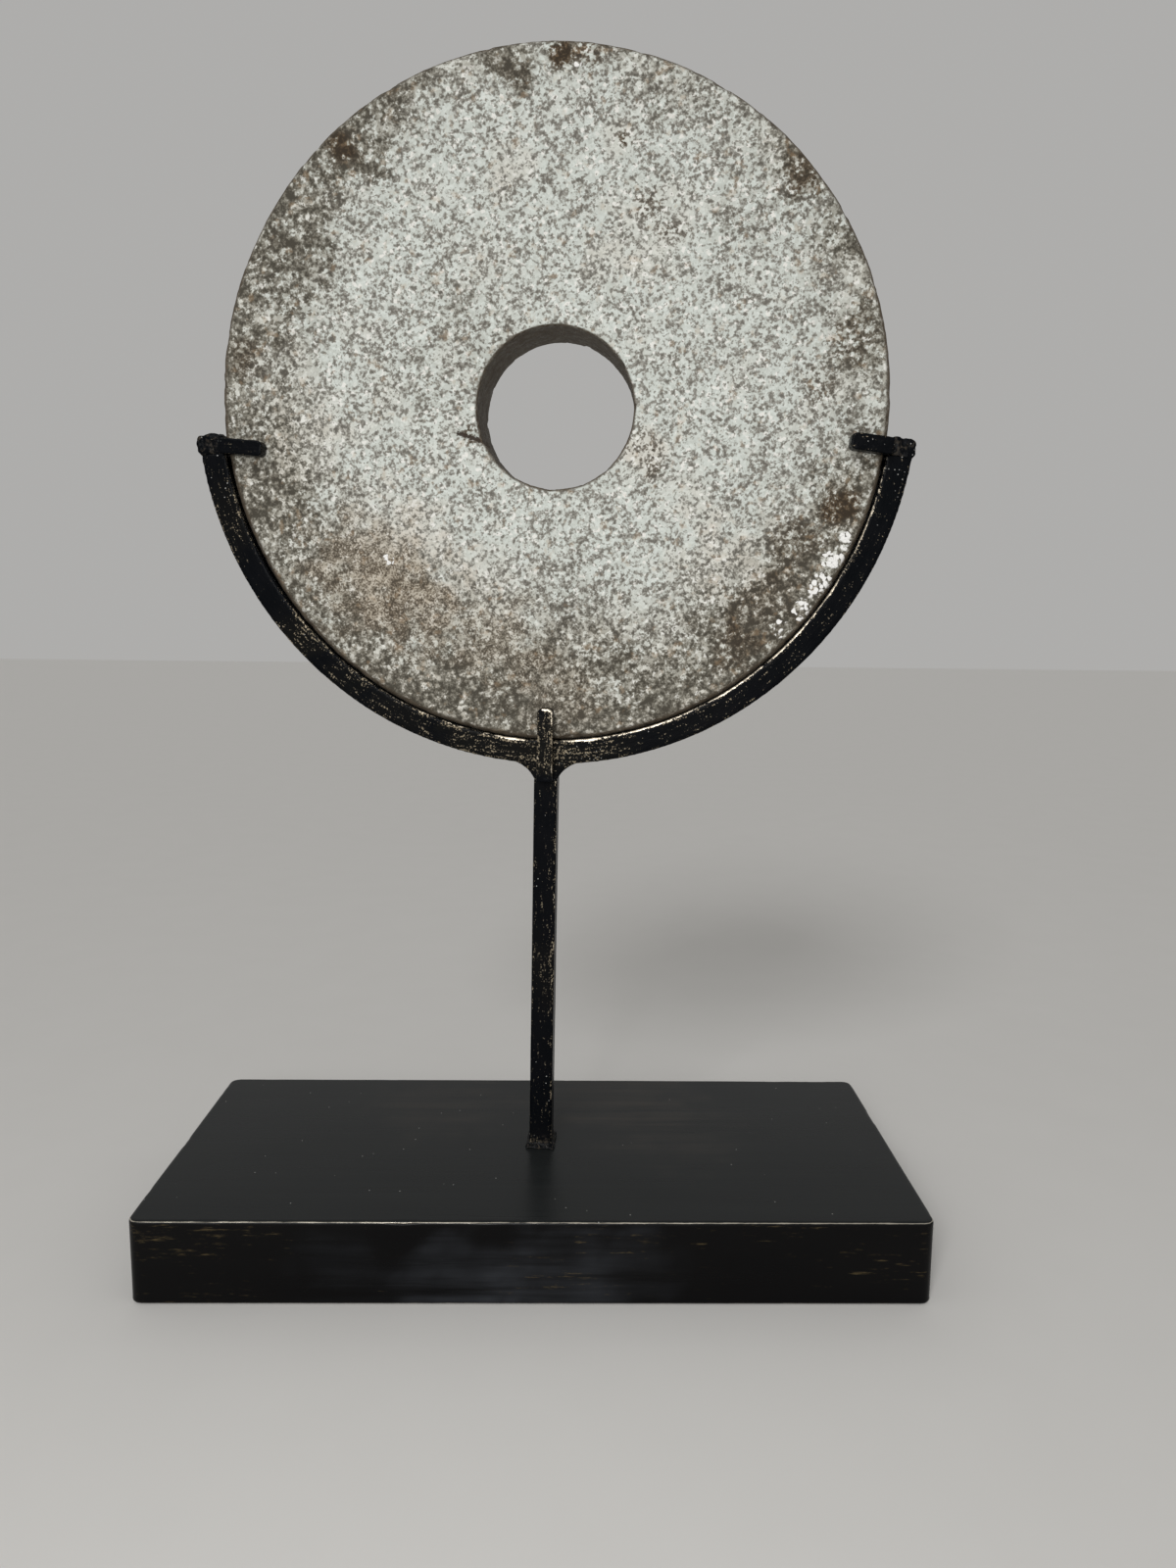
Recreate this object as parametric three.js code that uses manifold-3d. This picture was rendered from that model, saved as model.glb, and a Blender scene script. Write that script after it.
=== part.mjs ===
// A stone bi disc held upright by its own black metal stand: a flat base, a square post and a curved
// cradle with three pairs of short fingers. Millimetres, +Z up. The origin is the middle of the base's
// underside, the viewer stands on the -Y side, and +X is to the viewer's right.

import * as THREE from "three";
import { mergeVertices } from "three/addons/utils/BufferGeometryUtils.js";
import Module from "manifold-3d";

const wasm = await Module();
wasm.setup();

// Stone disc
const discRadius = 107.4;
const discThickness = 27;
const discEdgeRound = 2.6;
const holeRadius = 25;
const holeFlare = 1.1;
const holeShift = { x: 1.2, z: -0.2 };
const holeSteps = 72;
const discSteps = 112;
const roundSteps = 4;

// Stand
const gap = 0.3;
const baseWidth = 254;
const baseDepth = 111;
const baseHeight = 28;
const baseEdgeRound = 1.2;
const baseCornerRound = 2.5;
const barWidth = 7.9;
const postDepth = 10;
const cradleRadius = 108;
const bandThickness = 7.4;
const cradleRise = 254.5;
const cradleRecess = 1.5;
const archSteps = 64;
const webReach = 6.4;
const webDrop = 5.2;
const webSteps = 6;
const backWebShort = 2;
const weldOverlap = 1;
const beadHeight = 1.9;
const beadSpread = 1.5;

// Fingers and the lumps that join them to the arms
const fingerWidth = 5.2;
const bottomFingerLength = 24.4;
const fingerEndRound = 1.7;
const tipWidth = 8;
const tipRound = 1.6;

// The two arms differ: how many degrees below level each ends, how tall its lump is, how far its fingers
// start from the lump, reach over the disc and stand above the arm's end, and how many degrees they tilt
const leftArm = { side: -1, drop: 8.4, tipHeight: 6, inset: 0.6, reach: 13.6, raise: -0.6, tilt: -4.5 };
const rightArm = { side: 1, drop: 7.1, tipHeight: 5.3, inset: 0.2, reach: 12.5, raise: -0.8, tilt: 7.5 };

// How the hand-made upper part stands on the base, in degrees
const turn = -4;
const leanForward = 2;
const leanRight = 0.7;
const footShift = { x: 1, y: 0 };

const cradleDepth = discThickness + 2 * cradleRecess;
const cradleOuter = cradleRadius + bandThickness;
const discDrop = cradleRadius - discRadius - gap;
const postHeight = cradleRise - cradleOuter - webDrop - gap;
const frontFace = -cradleDepth / 2;
const discPlane = (cradleDepth - postDepth) / 2;
const webBottom = -cradleOuter - webDrop;
const insideBand = -cradleRadius - bandThickness / 2;

const stoneFace = new THREE.MeshStandardMaterial({ color: 0xb3bcb0, roughness: 0.75, metalness: 0 });
const blackMetal = new THREE.MeshStandardMaterial({ color: 0x16171a, roughness: 0.38, metalness: 0.6 });
const basePaint = new THREE.MeshStandardMaterial({ color: 0x1b1d1e, roughness: 0.42, metalness: 0.3 });

function radians(degrees) {
  return THREE.MathUtils.degToRad(degrees);
}

function toSolid(geometry) {
  const bare = geometry.clone();
  bare.deleteAttribute("normal");
  bare.deleteAttribute("uv");
  const merged = mergeVertices(bare, 1e-4);
  return new wasm.Manifold(
    new wasm.Mesh({
      numProp: 3,
      vertProperties: new Float32Array(merged.attributes.position.array),
      triVerts: new Uint32Array(merged.index.array),
    }),
  );
}

function toGeometry(solid) {
  const mesh = solid.getMesh();
  const geometry = new THREE.BufferGeometry();
  geometry.setAttribute("position", new THREE.BufferAttribute(new Float32Array(mesh.vertProperties), 3));
  geometry.setIndex(new THREE.BufferAttribute(new Uint32Array(mesh.triVerts), 1));
  geometry.computeVertexNormals();
  return geometry;
}

function piece(name, geometry, material) {
  const mesh = new THREE.Mesh(geometry, material);
  mesh.name = name;
  return mesh;
}

// A flat shape drawn in X and Z, given thickness along Y from the face at yFront backwards.
function slab(shape, thickness, yFront, curveSegments = 12) {
  const geometry = new THREE.ExtrudeGeometry(shape, { depth: thickness, bevelEnabled: false, curveSegments });
  geometry.rotateX(Math.PI / 2);
  geometry.translate(0, yFront + thickness, 0);
  return geometry;
}

// Points of a quarter circle about (x, y), from one angle to another, both in degrees.
function arcPoints(x, y, radius, from, to, steps) {
  const points = [];
  for (let i = 0; i <= steps; i += 1) {
    const angle = radians(from + ((to - from) * i) / steps);
    points.push(new THREE.Vector2(x + radius * Math.cos(angle), y + radius * Math.sin(angle)));
  }
  return points;
}

function roundedDisc() {
  const half = discThickness / 2;
  const middle = discRadius - discEdgeRound;
  const rim = half - discEdgeRound;
  const profile = [
    new THREE.Vector2(0, -half),
    ...arcPoints(middle, -rim, discEdgeRound, -90, 0, roundSteps),
    ...arcPoints(middle, rim, discEdgeRound, 0, 90, roundSteps),
    new THREE.Vector2(0, half),
  ];
  return new THREE.LatheGeometry(profile, discSteps);
}

// The drill's path: a straight bore whose two mouths open out a little.
function holeCutter() {
  const half = discThickness / 2;
  const beyond = half + 2;
  const mouth = holeRadius + holeFlare;
  const profile = [
    new THREE.Vector2(0, -beyond),
    new THREE.Vector2(mouth, -beyond),
    new THREE.Vector2(mouth, -half),
    new THREE.Vector2(holeRadius, -half + 2 * holeFlare),
    new THREE.Vector2(holeRadius, half - 2 * holeFlare),
    new THREE.Vector2(mouth, half),
    new THREE.Vector2(mouth, beyond),
    new THREE.Vector2(0, beyond),
  ];
  return new THREE.LatheGeometry(profile, holeSteps);
}

function disc() {
  const bore = toSolid(holeCutter()).translate(holeShift.x, 0, holeShift.z);
  const mesh = piece("disc", toGeometry(toSolid(roundedDisc()).subtract(bore)), stoneFace);
  mesh.position.z = -discDrop;
  return mesh;
}

function base() {
  const halfWidth = baseWidth / 2 - baseEdgeRound;
  const halfDepth = baseDepth / 2 - baseEdgeRound;
  const corner = baseCornerRound;
  const outline = new THREE.Shape();
  outline.absarc(halfWidth - corner, halfDepth - corner, corner, 0, radians(90));
  outline.absarc(corner - halfWidth, halfDepth - corner, corner, radians(90), radians(180));
  outline.absarc(corner - halfWidth, corner - halfDepth, corner, radians(180), radians(270));
  outline.absarc(halfWidth - corner, corner - halfDepth, corner, radians(270), radians(360));
  const geometry = new THREE.ExtrudeGeometry(outline, {
    depth: baseHeight - 2 * baseEdgeRound,
    bevelSize: baseEdgeRound,
    bevelThickness: baseEdgeRound,
    bevelSegments: 3,
    curveSegments: 4,
  });
  geometry.translate(0, 0, baseEdgeRound);
  return piece("base", geometry, basePaint);
}

// A square bar with a low, spreading bead of weld round its foot.
function post() {
  const half = barWidth / 2;
  const bar = new THREE.BoxGeometry(barWidth, postDepth, postHeight - gap);
  bar.translate(0, 0, gap + (postHeight - gap) / 2);
  const wide = half + beadSpread;
  const bead = new THREE.CylinderGeometry(half * Math.SQRT2, wide * Math.SQRT2, beadHeight, 4, 1);
  bead.rotateY(Math.PI / 4);
  bead.rotateX(Math.PI / 2);
  bead.scale(1, (postDepth + 2 * beadSpread) / (2 * wide), 1);
  bead.translate(0, 0, gap + beadHeight / 2);
  return piece("post", toGeometry(toSolid(bar).add(toSolid(bead))), blackMetal);
}

// The band that the disc lies in, open at the top.
function band() {
  const from = radians(180 + leftArm.drop);
  const to = radians(360 - rightArm.drop);
  const outline = new THREE.Shape();
  outline.absarc(0, 0, cradleOuter, from, to, false);
  outline.absarc(0, 0, cradleRadius, to, from, true);
  return slab(outline, cradleDepth, frontFace, archSteps);
}

// One hollow-curved side of the weld below the band, drawn from the bar outwards to `reach` from it. It is
// halfway between a straight line and a quarter of an ellipse.
function hollowCurve(start, reach, bottom, top) {
  const points = [];
  for (let i = 0; i <= webSteps; i += 1) {
    const share = i / webSteps;
    const angle = (Math.PI / 2) * share;
    const out = (1 - Math.cos(angle) + share) / 2;
    const up = (Math.sin(angle) + share) / 2;
    points.push(new THREE.Vector2(start + reach * out, bottom + (top - bottom) * up));
  }
  return points;
}

// The welded web that carries the band on the bar, hollow-curved to both sides.
function web() {
  const reach = barWidth / 2 + webReach;
  const shoulder = -Math.sqrt(cradleOuter ** 2 - reach ** 2);
  const right = hollowCurve(barWidth / 2, webReach, webBottom, shoulder);
  const left = right.map((p) => new THREE.Vector2(-p.x, p.y)).reverse();
  const top = [new THREE.Vector2(reach, insideBand), new THREE.Vector2(-reach, insideBand)];
  return slab(new THREE.Shape([...top, ...left, ...right]), postDepth, frontFace);
}

// The same curve behind the bar, where it props the back of the band.
function backWeb() {
  const start = frontFace + postDepth;
  const reach = cradleDepth - postDepth - backWebShort;
  const inWeb = start - weldOverlap;
  const outline = new THREE.Shape([
    new THREE.Vector2(inWeb, webBottom),
    ...hollowCurve(start, reach, webBottom, -cradleOuter),
    new THREE.Vector2(start + reach, insideBand),
    new THREE.Vector2(inWeb, insideBand),
  ]);
  const geometry = slab(outline, barWidth, -barWidth / 2);
  geometry.rotateZ(Math.PI / 2);
  return geometry;
}

function cradle() {
  const parts = toSolid(band()).add(toSolid(web())).add(toSolid(backWeb()));
  return piece("cradle", toGeometry(parts), blackMetal);
}

// A bar lying along +X from the origin, square at its fixed end and rounded at its free end.
function fingerShape(length) {
  const half = fingerWidth / 2;
  const outline = new THREE.Shape();
  outline.moveTo(0, -half);
  outline.lineTo(length - fingerEndRound, -half);
  outline.absarc(length - fingerEndRound, -half + fingerEndRound, fingerEndRound, radians(-90), 0);
  outline.absarc(length - fingerEndRound, half - fingerEndRound, fingerEndRound, 0, radians(90));
  outline.lineTo(0, half);
  return outline;
}

// A place at an arm's end, level with the disc's edge on the cradle's inner side, moved along the arm and
// away from the disc.
function atArmEnd(arm, along, outward) {
  const drop = radians(arm.drop);
  const radius = cradleRadius + outward;
  return {
    x: arm.side * (radius * Math.cos(drop) + along * Math.sin(drop)),
    z: along * Math.cos(drop) - radius * Math.sin(drop),
  };
}

function roundedBox(width, height, round) {
  const x = width / 2 - round;
  const z = height / 2 - round;
  const outline = new THREE.Shape();
  outline.absarc(x, z, round, 0, radians(90));
  outline.absarc(-x, z, round, radians(90), radians(180));
  outline.absarc(-x, -z, round, radians(180), radians(270));
  outline.absarc(x, -z, round, radians(270), radians(360));
  return outline;
}

// The lump across the end of an arm, from the front of the cradle to its back.
function tipBlock(name, arm) {
  const middle = atArmEnd(arm, gap + arm.tipHeight / 2, tipWidth / 2);
  const shape = roundedBox(tipWidth, arm.tipHeight, tipRound);
  const mesh = piece(name, slab(shape, cradleDepth, frontFace, 3), blackMetal);
  mesh.position.set(middle.x, 0, middle.z);
  mesh.rotation.y = arm.side * radians(arm.drop);
  return mesh;
}

// A pair of side fingers, one over each face of the disc, that start beside the lump on the arm.
function sideFingers(label, arm) {
  const start = atArmEnd(arm, gap + arm.raise + fingerWidth / 2, -gap - arm.inset);
  const face = discThickness / 2 + gap;
  return ["front", "back"].map((where) => {
    const yFront = where === "front" ? -face - fingerWidth : face;
    const geometry = slab(fingerShape(arm.reach), fingerWidth, yFront, 4);
    const mesh = piece(`finger_${where}_${label}`, geometry, blackMetal);
    mesh.position.set(start.x, 0, start.z);
    mesh.rotation.y = arm.side > 0 ? Math.PI + radians(arm.tilt) : -radians(arm.tilt);
    return mesh;
  });
}

// The upright fingers at the bottom: one welded on the front of the cradle, down to the bar's top, and a
// shorter one on its back.
function bottomFingers() {
  const away = cradleDepth / 2 + gap;
  return ["front", "back"].map((where) => {
    const isFront = where === "front";
    const length = isFront ? bottomFingerLength : bottomFingerLength - webDrop;
    const geometry = slab(fingerShape(length), fingerWidth, isFront ? -away - fingerWidth : away, 4);
    geometry.rotateY(-Math.PI / 2);
    const mesh = piece(`finger_${where}_bottom`, geometry, blackMetal);
    mesh.position.z = webBottom + bottomFingerLength - length;
    return mesh;
  });
}

const held = new THREE.Group();
held.position.set(0, discPlane, cradleRise);
held.add(
  cradle(),
  disc(),
  tipBlock("tip_left", leftArm),
  tipBlock("tip_right", rightArm),
  ...sideFingers("left", leftArm),
  ...sideFingers("right", rightArm),
  ...bottomFingers(),
);

const upper = new THREE.Group();
upper.rotation.set(radians(leanForward), radians(leanRight), radians(turn), "ZYX");
upper.position.set(footShift.x, footShift.y, baseHeight);
upper.add(post(), held);

const biDisc = new THREE.Group();
biDisc.add(base(), upper);

export default biDisc;
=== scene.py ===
"""A weathered stone bi disc held upright in its own black metal stand.

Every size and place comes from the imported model. Each of its solids is replaced by a finer mesh of the
same form, with chips, pits, lumps of weld and softened edges, and a finish built from nodes.
"""
import math
import random

import bmesh
import bpy
import numpy as np
from mathutils import Matrix, Vector, kdtree, noise


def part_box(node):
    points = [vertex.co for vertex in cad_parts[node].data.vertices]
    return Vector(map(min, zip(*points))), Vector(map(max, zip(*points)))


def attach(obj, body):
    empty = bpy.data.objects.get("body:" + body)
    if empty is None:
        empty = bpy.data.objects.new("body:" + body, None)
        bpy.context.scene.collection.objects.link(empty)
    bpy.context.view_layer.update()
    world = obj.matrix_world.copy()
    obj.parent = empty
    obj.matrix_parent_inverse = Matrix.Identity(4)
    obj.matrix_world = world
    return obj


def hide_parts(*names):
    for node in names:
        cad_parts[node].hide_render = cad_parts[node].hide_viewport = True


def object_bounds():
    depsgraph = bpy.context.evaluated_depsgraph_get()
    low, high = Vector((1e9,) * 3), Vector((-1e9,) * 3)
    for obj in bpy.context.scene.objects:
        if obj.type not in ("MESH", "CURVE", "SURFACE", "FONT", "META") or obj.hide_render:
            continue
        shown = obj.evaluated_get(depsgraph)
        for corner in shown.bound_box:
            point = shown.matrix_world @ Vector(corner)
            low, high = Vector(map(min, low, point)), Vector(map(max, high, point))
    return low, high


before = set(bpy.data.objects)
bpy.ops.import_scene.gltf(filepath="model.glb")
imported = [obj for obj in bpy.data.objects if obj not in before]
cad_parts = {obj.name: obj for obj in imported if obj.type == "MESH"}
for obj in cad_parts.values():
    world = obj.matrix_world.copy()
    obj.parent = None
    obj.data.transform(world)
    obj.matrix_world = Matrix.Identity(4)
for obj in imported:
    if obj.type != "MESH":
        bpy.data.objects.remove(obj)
cad_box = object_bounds()

MM = 0.001
BODY = "root"

# How the upper part stands on the base, in degrees
TURN = -4.0
LEAN_FORWARD = 2.0
LEAN_RIGHT = 0.7

# Camera: the picture is 1200 by 1600, and the eye's place is from the middle of the base's underside.
# Its angles are in radians.
PHOTO_HEIGHT = 1600
FOCAL_PIXELS = 1134.6
FILM_HEIGHT = 36.0
NEAREST_SEEN = 0.01
EYE = Vector((10.0, -381.0, 212.5)) * MM
LOOK_DOWN = 0.140
LOOK_RIGHT = 0.017
ROLL = 0.011

# Studio, in metres
FLOOR_HALF = 6.0
FLOOR_DROP = 0.2 * MM
KEY_FROM_EYE = Vector((-0.06, -0.10, 0.06))
KEY_SIZE = 0.12
KEY_POWER = 0.9
HIGH_AIM = Vector((0.35, 1.0, -0.75))
HIGH_SPREAD = math.radians(20)
HIGH_POWER = 1.0
ROOM_COLOUR = (0.47, 0.465, 0.455, 1)
ROOM_STRENGTH = 0.9

# Sizes in the finishes, in millimetres: what each grain, knob or speck measures, and how deep the relief is
GRAIN_AXIS = (0.8, 0.35, 0.5)
GRAIN_TURN = 0.9
GRAIN = 1.32
FINE_GRAIN = 0.6
BEAD_GRAIN = 1.9
KNOB = 1.5
SPECK_SPACING = 1.3
DUST_SPACING = 3.4
STONE_RELIEF = 0.22
BAR_RELIEF = 0.12
BASE_RELIEF = 0.03

# Stone disc's mesh: its roundings in millimetres, and how many rows of points each part of it has
EDGE_ROUND = 2.6
MOUTH_ROUND = 1.1
STEPS_ROUND = 448
FRONT_RINGS = 76
BACK_RINGS = 54
RIM_ROWS = 18
WALL_ROWS = 18
ARC_ROWS = 6
MOUTH_ROWS = 4

# Stone disc's wear, in millimetres. WORN_BACK is how far all of the stone lies inside the model's surface
PIT_TRIES = 620
PIT_WIDTHS = (0.9, 2.3)
PIT_DEPTHS = (0.15, 0.5)
CHIP_REACH = 4.5
CHIP_DEPTH = 1.1
CRACK_DEPTH = 0.7
CRUST_HEIGHT = 0.3
WORN_BACK = 0.15

# Stand, in millimetres. An edge is sharp where its two faces turn by more than SHARP
SHARP = math.radians(35)
EDGE_STEP = 0.4
EDGE_REACH = 1.1
# How far the bright edge's wear and painted highlight reach
HIGHLIGHT_REACH = 1.6
SMOOTH_SHARE = 0.5
BEAD_SPREAD = 1.5
BEAD_HEIGHT = 3.5
WELD_LUMP = 2.2
WELD_RISE = 0.25
LIP_REACH = 0.8
LIP_DEPTH = 3.2
LIP_WIDTH = 5.0
# How far a bar's end is drawn out to the piece that it is welded to
SEAM = 0.7
# How the low and high sides of a short bar move to meet its neighbour. The left ones also sit a little lower
FINGER_MOVES = {
    "left": ((-SEAM, 0, -0.4), (0, 0, -0.8)),
    "right": ((0, 0, 0), (SEAM, 0, 0)),
    "bottom": ((0, 0, 0), (0, 0, 0)),
}

# Base, in millimetres: its grid and its rounded corners and edges. Its underside stays flat up to BASE_REST,
# and its edges are worn most as far as FRONT_DEPTH from the front
BASE_SPACING = 2.2
BASE_ROW_SPACING = 1.8
BASE_END_LINES = (0.0, 0.35, 0.7, 1.1, 1.6, 2.4, 3.7, 5.2)
BASE_CORNER = 3.7
BASE_EDGE = 1.2
BASE_REST = 1.5
FRONT_DEPTH = 6
# Smears on the base's top, as (x, y) from its middle, and painted reflections on its front, as (x, z):
# radius, amount
SMEARS = ((30, 38, 30, 0.6), (48, 8, 26, 0.35), (-36, 32, 28, 0.4))
PAINTED_REFLECTIONS = ((-22, 4, 20, 0.6), (8, 5, 22, 0.55), (30, 10, 16, 0.25), (-60, 12, 14, 0.2))

# How brightly the cradle's inner front edge is worn and lit by painted highlight, by degrees round from
# straight down
HIGHLIGHT_ANGLES = (-85, -60, -42, -22, -8, 0, 25, 60, 80)
HIGHLIGHT_AMOUNTS = (0.66, 0.72, 0.8, 0.95, 1.05, 1.0, 1.3, 1.45, 1.2)

# The darker ring at the disc's rim, by degrees round from its right: where it starts, and how dark it is
RING_ANGLES = (0, 45, 75, 105, 135, 180, 225, 270, 315, 360)
RING_STARTS = (74, 84, 92, 90, 76, 66, 54, 50, 60, 74)
RING_AMOUNTS = (1.0, 0.65, 0.65, 0.8, 1.15, 1.7, 1.4, 2.8, 1.6, 1.0)

# Patches on the disc's front, seen from the front: (x, z) from its middle, radius, amount
DARK_PATCHES = (
    (-66, 76, 8, 1.8), (-57, 73, 7, 1.0), (-50, 90, 10, 0.4), (-81, 55, 13, 0.6), (-75, 44, 10, 0.5),
    (-99, 21, 10, 0.4), (-88, 30, 12, 0.4), (-88, -30, 16, 0.4), (-61, -57, 22, 0.35), (-36, -64, 18, 0.3),
    (-20, -86, 16, 0.3), (64, -69, 15, 0.6), (78, -45, 14, 0.4), (93, -26, 11, 0.6), (95, 20, 12, 0.5),
    (88, 52, 9, 0.6), (78, 70, 9, 0.7), (30, 93, 12, 0.4), (-14, 98, 7, 1.3), (2, 102, 6, 0.8),
    (-31, 33, 11, 0.3), (-24, 20, 12, 0.25), (8, -60, 14, 0.2), (60, 60, 12, 0.3), (-40, 8, 12, 0.25),
    (1.5, 103, 4, 1.0),
)
BROWN_PATCHES = (
    (-68, 77, 5, 0.9), (-62, 74, 4, 0.5), (-14, 98, 6, 0.25), (1.5, 102, 4.0, 2.2), (9, 103, 6, 0.8),
    (94, -29, 6, 1.2), (80, -41, 10, 0.4), (70, -62, 12, 0.35), (-26, -8.5, 4, 0.8), (28, -11, 6, 0.6),
    (33, -16, 5, 0.5), (93, 22, 8, 0.5), (21.5, 78.7, 2.6, 0.9), (76, 70, 6, 0.7), (-99, 14, 6, 0.4),
    (61, -76, 8, 0.5), (84, 8, 7, 0.4), (29, 60, 7, 0.55), (38, 51, 5, 0.35),
)
ROSY_PATCHES = (
    (-60, -53, 19, 0.8), (-44, -64, 15, 0.7), (-18, -74, 16, 0.5), (4, -92, 14, 0.4),
)
WARM_PATCHES = (
    (30, 52, 17, 0.35), (17, 43, 9, 0.4), (-12, 70, 8, 0.7), (30, -13, 8, 0.8), (-50, -48, 24, 0.8),
    (60, -50, 18, 0.6), (50, -30, 9, 0.5), (-80, -10, 16, 0.5), (-20, -60, 18, 0.4), (20, 80, 7, 0.5),
)
CRUST_PATCHES = (
    (96, -39, 3.8, 0.8), (92, -46, 4.2, 0.9), (88, -54, 4.2, 0.8), (83, -62, 4.0, 0.7),
    (-53.5, -49, 2.4, 0.45), (6, 100, 2.4, 0.4), (76, -68, 3.6, 0.5),
)
CRACK = ((-30.0, -8.4), (-22.0, -10.6))
CRACK_WIDTH = 2.4

# Patches on the stand, seen from the front: (x, z) from the disc's middle, radius, amount.
# Here its paint is rubbed through to bronze
RUB_PATCHES = (
    (0, -108, 15, 1.0), (-24, -110, 16, 0.75), (-50, -101, 12, 0.5), (-84, -75, 10, 0.8),
    (-106, -36, 12, 0.55), (22, -110, 9, 0.5), (52, -98, 16, 0.2), (99, -65, 5, 0.3),
    (-68, -90, 10, 0.45), (0, -188, 14, 0.4), (0, -250, 8, 0.15),
)
# Here welds keep the paint whole, and at the bottom bar's lower end and beside it the black is painted shade
WELD_AND_SHADE_PATCHES = (
    (0, -120.6, 3.0, 1.3), (-110, -13, 9, 0.9), (110, -11, 9, 0.9), (-6, -120, 4, 0.6), (6, -120, 4, 0.6),
)
# Here the paint is worn to bright metal, and some of these bright patches are painted highlights and glints
BARE_AND_HIGHLIGHT_PATCHES = (
    (0, -96.8, 2.4, 0.9), (1.2, -100, 1.8, 0.5), (-1.4, -112, 1.8, 0.7), (0.6, -116.5, 2.4, 0.8),
    (-10, -109.5, 4, 0.5), (7, -110.5, 1.7, 0.8), (6.5, -115, 1.8, 0.6), (14, -109, 5, 0.5),
    (-88, -70, 2.2, 0.9), (99, -65, 3, 0.5), (-85, -73, 4, 0.4), (-23, -110, 4, 0.4),
)
# Here pale specks lie close together: dust, and painted glints on the rough paint
DUST_AND_GLINT_PATCHES = (
    (-109, -22, 9, 1.0), (-111, -13, 8, 1.0), (112, -18, 8, 0.8), (14, -111, 10, 0.6), (112, -11, 8, 0.6),
    (0, -252, 6, 0.7),
)


def linear(red, green, blue):
    """A colour as it looks on screen, from 0 to 255, as the linear colour that a shader takes."""
    shares = [channel / 255 for channel in (red, green, blue)]
    values = [s / 12.92 if s <= 0.04045 else ((s + 0.055) / 1.055) ** 2.4 for s in shares]
    return (*values, 1.0)


class Value:
    """A node's output that sums can be written with: an operator adds the Math node that works it out."""

    def __init__(self, finish, socket):
        self.finish = finish
        self.socket = socket

    def math(self, operation, *inputs):
        return self.finish.node("Math", {"operation": operation}, dict(enumerate(inputs)))

    def __add__(self, other):
        return self.math("ADD", self, other)

    def __radd__(self, other):
        return self.math("ADD", other, self)

    def __sub__(self, other):
        return self.math("SUBTRACT", self, other)

    def __rsub__(self, other):
        return self.math("SUBTRACT", other, self)

    def __mul__(self, other):
        return self.math("MULTIPLY", self, other)


class Finish:
    """A material being made: it adds nodes to its own tree and joins them up."""

    def __init__(self, name):
        self.material = bpy.data.materials.new(name)
        self.material.use_nodes = True
        self.tree = self.material.node_tree
        self.tree.nodes.clear()

    def added(self, kind, settings, values):
        """Adds a node, sets it up, and feeds its inputs with values or links."""
        made = self.tree.nodes.new("ShaderNode" + kind)
        for name, setting in (settings or {}).items():
            setattr(made, name, setting)
        for place, value in (values or {}).items():
            if isinstance(value, Value):
                self.tree.links.new(value.socket, made.inputs[place])
            else:
                made.inputs[place].default_value = value
        return made

    def node(self, kind, settings=None, values=None, out=0):
        """Adds a node and gives one of its outputs."""
        made = self.added(kind, settings, values)
        return Value(self, made.outputs[out])

    def millimetres(self):
        """The place on the piece, in its own directions, in millimetres."""
        place = self.node("TexCoord", out="Object")
        return self.scaled(place, 1 / MM)

    def scaled(self, vector, factor):
        return self.node("VectorMath", {"operation": "SCALE"}, {"Vector": vector, "Scale": factor})

    def stretched(self, vector, factors):
        return self.node("VectorMath", {"operation": "MULTIPLY"}, {0: vector, 1: factors})

    def shifted(self, vector, offset):
        return self.node("VectorMath", {"operation": "ADD"}, {0: vector, 1: offset})

    def turned(self, vector, axis, angle):
        """Turned about an axis, so that a flat face cuts the noise at a slant and shows no rows in it."""
        return self.node("VectorRotate", None, {"Vector": vector, "Axis": axis, "Angle": angle})

    def cloud(self, place, size, detail=2.0, roughness=0.5):
        """Soft noise from 0 to 1, with blobs about that size."""
        values = {"Vector": place, "Scale": 1 / size, "Detail": detail, "Roughness": roughness}
        return self.node("TexNoise", None, values, "Fac")

    def cells(self, place, size, out="Distance"):
        return self.node("TexVoronoi", None, {"Vector": place, "Scale": 1 / size}, out)

    def chance(self, place, size):
        """One number from 0 to 1 for each cell of that size."""
        return self.node("SeparateColor", None, {0: self.cells(place, size, "Color")})

    def rise(self, value, low, high):
        """From 0 at low to 1 at high, with a soft start and end."""
        values = {"Value": value, "From Min": low, "From Max": high}
        return self.node("MapRange", {"interpolation_type": "SMOOTHSTEP"}, values)

    def kept(self, value):
        return self.node("Clamp", None, {"Value": value})

    def mix(self, share, first, second):
        """The first colour where share is 0, and the second where it is 1."""
        return self.node("Mix", {"data_type": "RGBA"}, {0: share, 6: first, 7: second}, 2)

    def tint(self, share, first, second):
        """The first colour multiplied by the second, as far as share says."""
        settings = {"data_type": "RGBA", "blend_type": "MULTIPLY"}
        return self.node("Mix", settings, {0: share, 6: first, 7: second}, 2)

    def written(self, name):
        """A number that was written on the mesh's points."""
        return self.node("Attribute", {"attribute_name": name}, None, "Fac")

    def written_place(self, name):
        return self.node("Attribute", {"attribute_name": name}, None, "Vector")

    def relief(self, height, depth):
        """A normal that shows height, where 1 stands depth millimetres above 0."""
        return self.node("Bump", None, {"Height": height, "Distance": depth * MM, "Strength": 1.0})

    def surface(self, colour, roughness, normal, metallic=0.0, specular=0.5):
        """Ends the material in one shader, and gives the material."""
        values = {"Base Color": colour, "Roughness": roughness, "Normal": normal, "Metallic": metallic}
        values["Specular IOR Level"] = specular
        shader = self.node("BsdfPrincipled", None, values, "BSDF")
        self.added("OutputMaterial", None, {"Surface": shader})
        return self.material


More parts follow.
